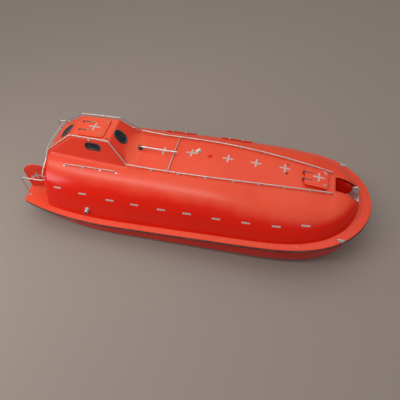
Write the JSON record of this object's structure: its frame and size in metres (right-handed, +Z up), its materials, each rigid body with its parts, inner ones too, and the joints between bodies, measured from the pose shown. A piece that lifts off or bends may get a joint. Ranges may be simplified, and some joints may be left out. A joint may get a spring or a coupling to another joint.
{
  "type": "totally enclosed lifeboat",
  "caption": "Totally enclosed ship's lifeboat with a conning tower, hatches, stern door, release hooks, grab rails, folding mast, propeller and steering nozzle.",
  "frame": {"origin": "on the centreline, amidships, at the height of the water the boat floats in", "axes": "+X towards the bow, +Y to port, +Z up"},
  "size_m": [10.564, 4.028, 3.48],
  "materials": {
    "hull_gelcoat": "red-orange gelcoat on glass-reinforced plastic, glossy, scuffed below the ledge",
    "canopy_gelcoat": "red-orange gelcoat, glossy on the flanks, paler and chalked on top",
    "ledge_gelcoat": "red-orange gelcoat, walked on and slightly faded",
    "nozzle_paint": "red painted steel, chipped at the edges",
    "fender_rubber": "matt black extruded rubber, dusty",
    "window_pane": "dark glossy panes in black rubber",
    "cabin_grey": "matt grey topcoat",
    "bench_orange": "orange topcoat, satin",
    "rail_steel": "stainless tube, dull, tea-stained near the welds",
    "galvanised_steel": "hot-dip galvanised steel, matt and spotted",
    "bronze": "cast bronze, polished by the water at the blade edges",
    "lamp_amber": "clear amber lamp dome",
    "light_housing": "pale greenish-white plastic case, yellowed by the sun"
  },
  "bodies": {
    "boat": {"hull_shell": "hull_gelcoat", "keel_and_skeg": "hull_gelcoat", "gunwale_ledge": "ledge_gelcoat", "rubber_fender": "fender_rubber", "stern_deck": "ledge_gelcoat", "bow_deck": "ledge_gelcoat", "canopy_shell": "canopy_gelcoat", "stern_wall": "canopy_gelcoat", "conning_tower": "canopy_gelcoat", "window_fore": "window_pane", "window_aft": "window_pane", "window_port": "window_pane", "window_starboard": "window_pane", "fore_hatch_coaming": "canopy_gelcoat", "cabin_floor": "cabin_grey", "bench_starboard": "bench_orange", "bench_port": "bench_orange", "bench_centre": "bench_orange", "engine_block": "cabin_grey", "coxswain_seat": "cabin_grey", "helm_console": "cabin_grey", "rail_starboard": "rail_steel", "shoulder_rail_starboard": "rail_steel", "stern_rail_starboard": "rail_steel", "rail_port": "rail_steel", "shoulder_rail_port": "rail_steel", "stern_rail_port": "rail_steel", "cross_rail": "rail_steel", "knuckle_rail": "rail_steel", "mast_bracket": "rail_steel", "fore_hook_frame": "galvanised_steel", "aft_hook_frame": "galvanised_steel", "bow_cleat_starboard": "galvanised_steel", "bow_cleat_port": "galvanised_steel", "exhaust_outlet": "galvanised_steel", "roof_vent": "canopy_gelcoat", "tower_lamp": "lamp_amber", "roof_light": "light_housing"},
    "propeller": {"propeller": "bronze"},
    "nozzle": {"steering_nozzle": "nozzle_paint"},
    "door": {"stern_door": "canopy_gelcoat"},
    "tower_lid": {"tower_hatch_lid": "canopy_gelcoat"},
    "fore_lid": {"fore_hatch_lid": "canopy_gelcoat"},
    "side_lid_aft": {"side_hatch_aft": "canopy_gelcoat"},
    "side_lid_fore": {"side_hatch_fore": "canopy_gelcoat"},
    "mast": {"folding_mast": "rail_steel"},
    "fore_hook": {"fore_release_hook": "galvanised_steel"},
    "aft_hook": {"aft_release_hook": "galvanised_steel"}
  },
  "joints": [
    {"name": "propeller_spin", "type": "hinge", "parent": "boat", "child": "propeller", "pos_m": [-4.72, 0, -0.31], "axis": [1, 0, 0], "continuous": true},
    {"name": "steering", "type": "hinge", "parent": "boat", "child": "nozzle", "pos_m": [-4.72, 0, -0.31], "axis": [0, 0, 1], "range_deg": [-35, 35]},
    {"name": "stern_door_hinge", "type": "hinge", "parent": "boat", "child": "door", "pos_m": [-4.5233, -0.969, 1.4], "axis": [0, 0, 1], "range_deg": [-105, 5]},
    {"name": "tower_hatch_hinge", "type": "hinge", "parent": "boat", "child": "tower_lid", "pos_m": [-3.455, 0, 2.773], "axis": [0, -1, 0], "range_deg": [0, 110]},
    {"name": "fore_hatch_hinge", "type": "hinge", "parent": "boat", "child": "fore_lid", "pos_m": [3.0748, 0, 2.02897], "axis": [0, -1, 0], "range_deg": [0, 110]},
    {"name": "side_hatch_aft_hinge", "type": "hinge", "parent": "boat", "child": "side_lid_aft", "pos_m": [-0.85, 1.15, 1.9215], "axis": [1, 0, 0], "range_deg": [0, 90]},
    {"name": "side_hatch_fore_hinge", "type": "hinge", "parent": "boat", "child": "side_lid_fore", "pos_m": [0.96, 1.15, 1.9215], "axis": [1, 0, 0], "range_deg": [0, 90]},
    {"name": "mast_hinge", "type": "hinge", "parent": "boat", "child": "mast", "pos_m": [-1.74, 0, 2.225], "axis": [0, -1, 0], "range_deg": [0, 90]},
    {"name": "fore_hook_release", "type": "hinge", "parent": "boat", "child": "fore_hook", "pos_m": [4.6, 0, 1.67325], "axis": [0, 1, 0], "range_deg": [0, 75]},
    {"name": "aft_hook_release", "type": "hinge", "parent": "boat", "child": "aft_hook", "pos_m": [-4.96, 0, 1.09], "axis": [0, 1, 0], "range_deg": [0, 75]}
  ]
}
